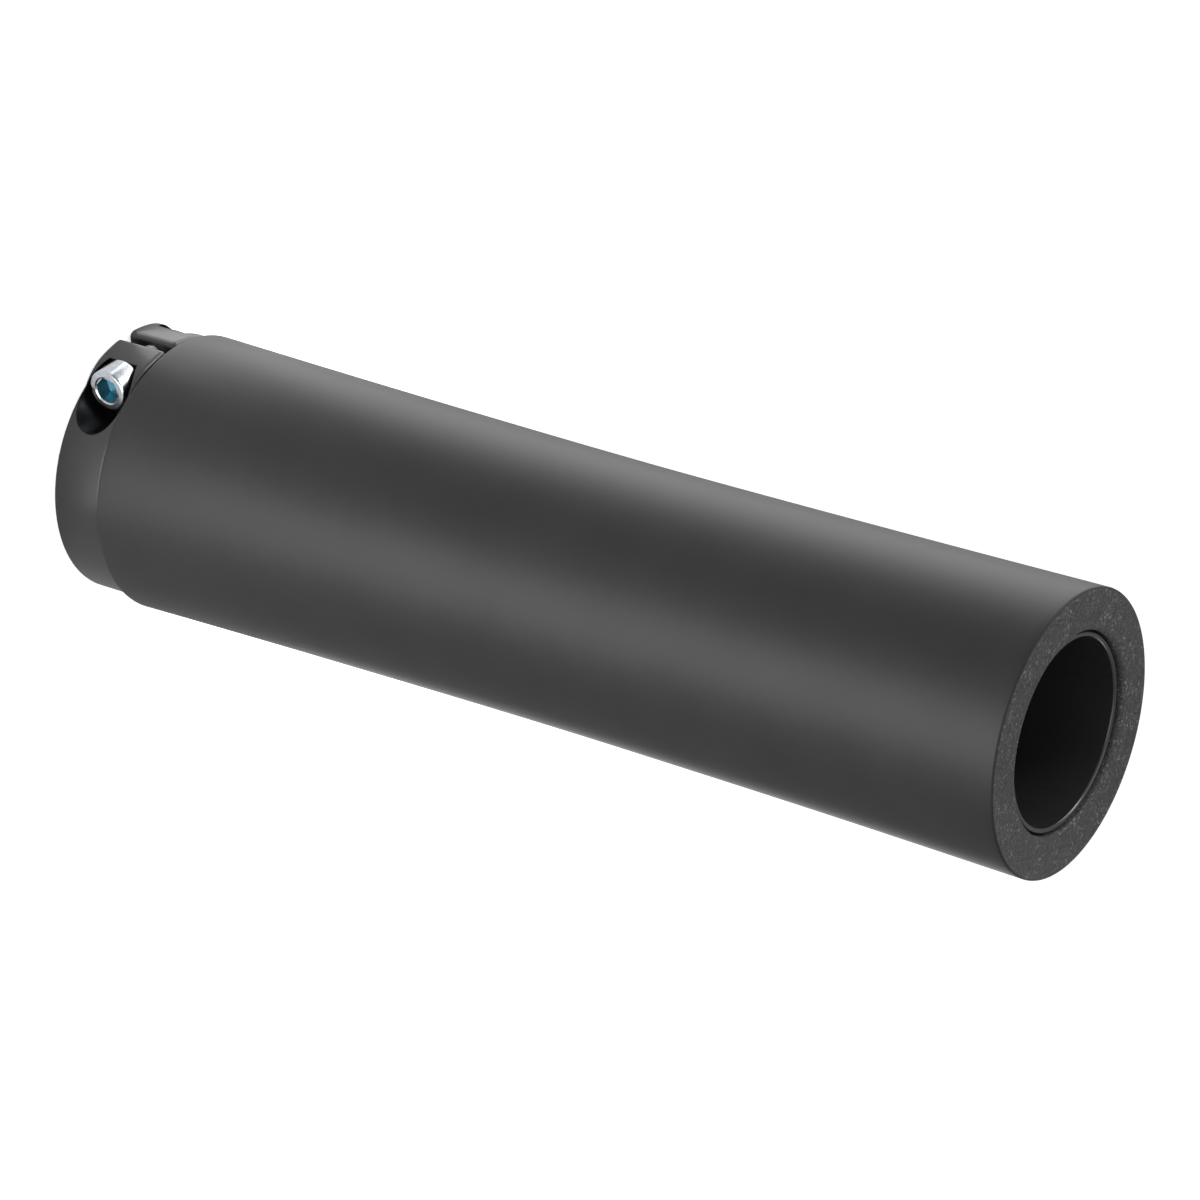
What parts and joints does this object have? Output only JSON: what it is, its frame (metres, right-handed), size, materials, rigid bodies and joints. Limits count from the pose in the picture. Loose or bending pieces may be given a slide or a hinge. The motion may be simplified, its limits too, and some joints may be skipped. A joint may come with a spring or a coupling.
{
  "type": "bicycle handlebar cover",
  "caption": "Waisted foam cover bonded to a thin core tube, with a split clamp ring and a socket-head bolt at one end that lock it to a handlebar",
  "frame": {"origin": "the centre of the clamp ring's flat end, which the part stands on, on the bar's centre line", "axes": "+Z runs along the bar from the clamp ring to the cut end of the foam, +Y passes through the ring's slit, and +X is the way the clamp bolt is driven"},
  "size_m": [0.035, 0.035, 0.134],
  "materials": {
    "foam": "matte closed-skin silicone foam, cut face with fine open cells",
    "core": "smooth moulded",
    "ring": "black anodised, satin, with machined chamfers",
    "bolt": "bright zinc plated"
  },
  "bodies": {
    "root": {"foam_cover": "foam", "core_tube": "core", "clamp_ring": "ring", "clamp_bolt": "bolt"}
  },
  "joints": []
}
